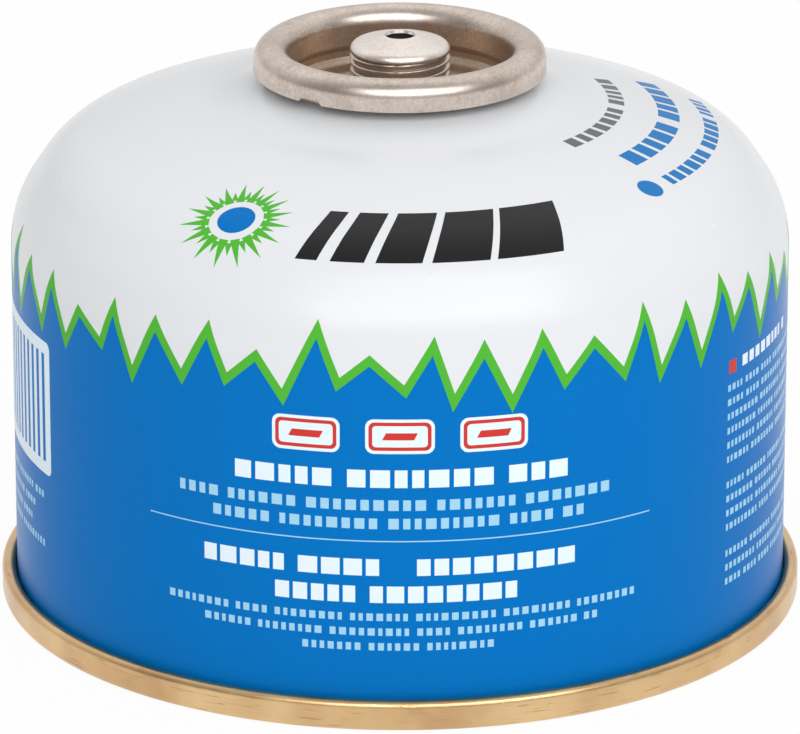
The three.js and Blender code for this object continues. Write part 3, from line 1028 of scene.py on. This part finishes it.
def build_spring():
    """The return spring, round wire wound between the housing's floor and the stem's head."""
    low, high = (corner[2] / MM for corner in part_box("valve_spring"))
    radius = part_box("valve_spring")[1][0] / MM - SPRING_WIRE_RADIUS
    low += SPRING_WIRE_RADIUS
    high -= SPRING_WIRE_RADIUS
    bm = bmesh.new()
    rings = []
    count = SPRING_TURNS * SPRING_STEPS
    rise = (high - low) / (2 * math.pi * SPRING_TURNS * radius)
    for i in range(count + 1):
        angle = 2 * math.pi * SPRING_TURNS * i / count
        out = Vector((math.cos(angle), math.sin(angle), 0))
        along = Vector((-out.y, out.x, rise)).normalized()
        side = along.cross(out)
        centre = out * radius + Vector((0, 0, low + (high - low) * i / count))
        ring = []
        for k in range(SPRING_SIDES):
            turn = 2 * math.pi * k / SPRING_SIDES
            spoke = (out * math.cos(turn) + side * math.sin(turn)) * SPRING_WIRE_RADIUS
            ring.append(bm.verts.new(centre + spoke))
        rings.append(ring)
    for one, other in zip(rings, rings[1:]):
        for k in range(SPRING_SIDES):
            n = (k + 1) % SPRING_SIDES
            bm.faces.new([one[k], one[n], other[n], other[k]])
    bm.faces.new(rings[0][::-1])
    bm.faces.new(rings[-1])
    spring = new_object("return_spring", bm, "canister", [WIRE])
    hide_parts("valve_spring")
    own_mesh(spring)


# Inner pieces that keep their own solids
INNER_PIECES = {
    "cup_gasket": RUBBER,
    "stem_gasket": RUBBER,
    "valve_housing": ACETAL,
    "valve_stem": ACETAL,
}


def dress_inner_pieces():
    for name, mat in INNER_PIECES.items():
        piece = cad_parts[name]
        piece.data.materials.clear()
        piece.data.materials.append(mat)


print_field()
print_front()
print_left()
print_right()
print_shoulder()
build_vessel()
build_base_end()
build_valve_cup()
build_spring()
dress_inner_pieces()


# Studio: white floor, pale surroundings and one large soft lamp. Places and sizes are in metres.
# The floor lies a hair under the foot, so that the two surfaces don't flicker into each other.
FLOOR_SIZE = 6.0
FLOOR_GAP = 5e-5
FLOOR_COLOUR = (0.9, 0.9, 0.9, 1)
FLOOR_GLOW = 0.94

# Light from the surroundings: its level low down and overhead, and its share on the camera's side and
# behind. Each changes between two directions, given by their part upwards or towards the back.
WORLD_LEVEL = (0.72, 1.06)
WORLD_UPWARDS = (0.2, 0.75)
WORLD_SHARE = (0.36, 1)
WORLD_BACKWARDS = (-0.3, 0.3)

LAMP_PLACE = (0.25, -1.15, 0.95)
LAMP_TARGET = (0, 0, 0.03)
LAMP_SIZE = (2.0, 0.85)
LAMP_POWER = 18.5

CAMERA_CLIP = (0.01, 20)


def white_floor():
    """A white floor that takes the shadow, and is nearly pure white to the camera and in reflections."""
    mat = bpy.data.materials.new("floor_white")
    mat.use_nodes = True
    mat.node_tree.nodes.clear()
    diffuse = node(mat, "ShaderNodeBsdfDiffuse", Color=FLOOR_COLOUR)
    glow = node(mat, "ShaderNodeEmission", Color=(1, 1, 1, 1))
    path = node(mat, "ShaderNodeLightPath")
    either = node(mat, "ShaderNodeMath", operation="ADD")
    link(mat, path.outputs["Is Camera Ray"], either.inputs[0])
    link(mat, path.outputs["Is Glossy Ray"], either.inputs[1])
    seen = node(mat, "ShaderNodeMath", operation="MULTIPLY")
    seen.inputs[1].default_value = FLOOR_GLOW
    link(mat, either.outputs[0], seen.inputs[0])
    mix = node(mat, "ShaderNodeMixShader")
    link(mat, seen.outputs[0], mix.inputs[0])
    link(mat, diffuse.outputs[0], mix.inputs[1])
    link(mat, glow.outputs[0], mix.inputs[2])
    out = node(mat, "ShaderNodeOutputMaterial")
    link(mat, mix.outputs[0], out.inputs[0])
    return mat


def lay_floor():
    bpy.ops.mesh.primitive_plane_add(size=FLOOR_SIZE, location=(0, 0, -FLOOR_GAP))
    floor = bpy.context.object
    floor.name = "floor"
    floor.data.materials.append(white_floor())


def studio_world():
    """A pale room: white where the camera sees it, brighter overhead and darker on the camera's side."""
    world = bpy.data.worlds.new("studio")
    bpy.context.scene.world = world
    world.use_nodes = True
    background = world.node_tree.nodes["Background"]
    background.inputs["Color"].default_value = (1, 1, 1, 1)
    direction = node(world, "ShaderNodeTexCoord")
    parts = node(world, "ShaderNodeSeparateXYZ")
    link(world, direction.outputs["Generated"], parts.inputs["Vector"])
    by_height = remap(world, parts.outputs["Z"], WORLD_UPWARDS, WORLD_LEVEL)
    by_side = remap(world, parts.outputs["Y"], WORLD_BACKWARDS, WORLD_SHARE)
    level = node(world, "ShaderNodeMath", operation="MULTIPLY")
    link(world, by_height, level.inputs[0])
    link(world, by_side, level.inputs[1])
    path = node(world, "ShaderNodeLightPath")
    seen = node(world, "ShaderNodeMix", data_type="FLOAT", B=1)
    link(world, path.outputs["Is Camera Ray"], seen.inputs["Factor"])
    link(world, level.outputs["Value"], seen.inputs["A"])
    link(world, seen.outputs["Result"], background.inputs["Strength"])


def soft_lamp():
    """A wide lamp in front of the canister and above it, turned to it."""
    data = bpy.data.lights.new("front", "AREA")
    data.shape = "RECTANGLE"
    data.size, data.size_y = LAMP_SIZE
    data.energy = LAMP_POWER
    lamp = bpy.data.objects.new("front", data)
    bpy.context.scene.collection.objects.link(lamp)
    lamp.location = LAMP_PLACE
    towards = Vector(LAMP_TARGET) - Vector(LAMP_PLACE)
    lamp.rotation_euler = towards.to_track_quat("-Z", "Y").to_euler()


def photo_camera():
    """The camera at the photograph's place and angle."""
    data = bpy.data.cameras.new("camera")
    data.lens = CAMERA_LENS
    data.sensor_width = SENSOR_WIDTH
    data.clip_start, data.clip_end = CAMERA_CLIP
    camera = bpy.data.objects.new("camera", data)
    bpy.context.scene.collection.objects.link(camera)
    elevation = math.radians(CAMERA_ELEVATION)
    back = -CAMERA_DISTANCE * math.cos(elevation)
    height = CAMERA_PIVOT_HEIGHT + CAMERA_DISTANCE * math.sin(elevation)
    camera.location = (0, back * MM, height * MM)
    camera.rotation_euler = (math.radians(90 - CAMERA_PITCH), 0, 0)
    bpy.context.scene.camera = camera


lay_floor()
studio_world()
soft_lamp()
photo_camera()
bpy.context.scene.view_settings.view_transform = "Standard"
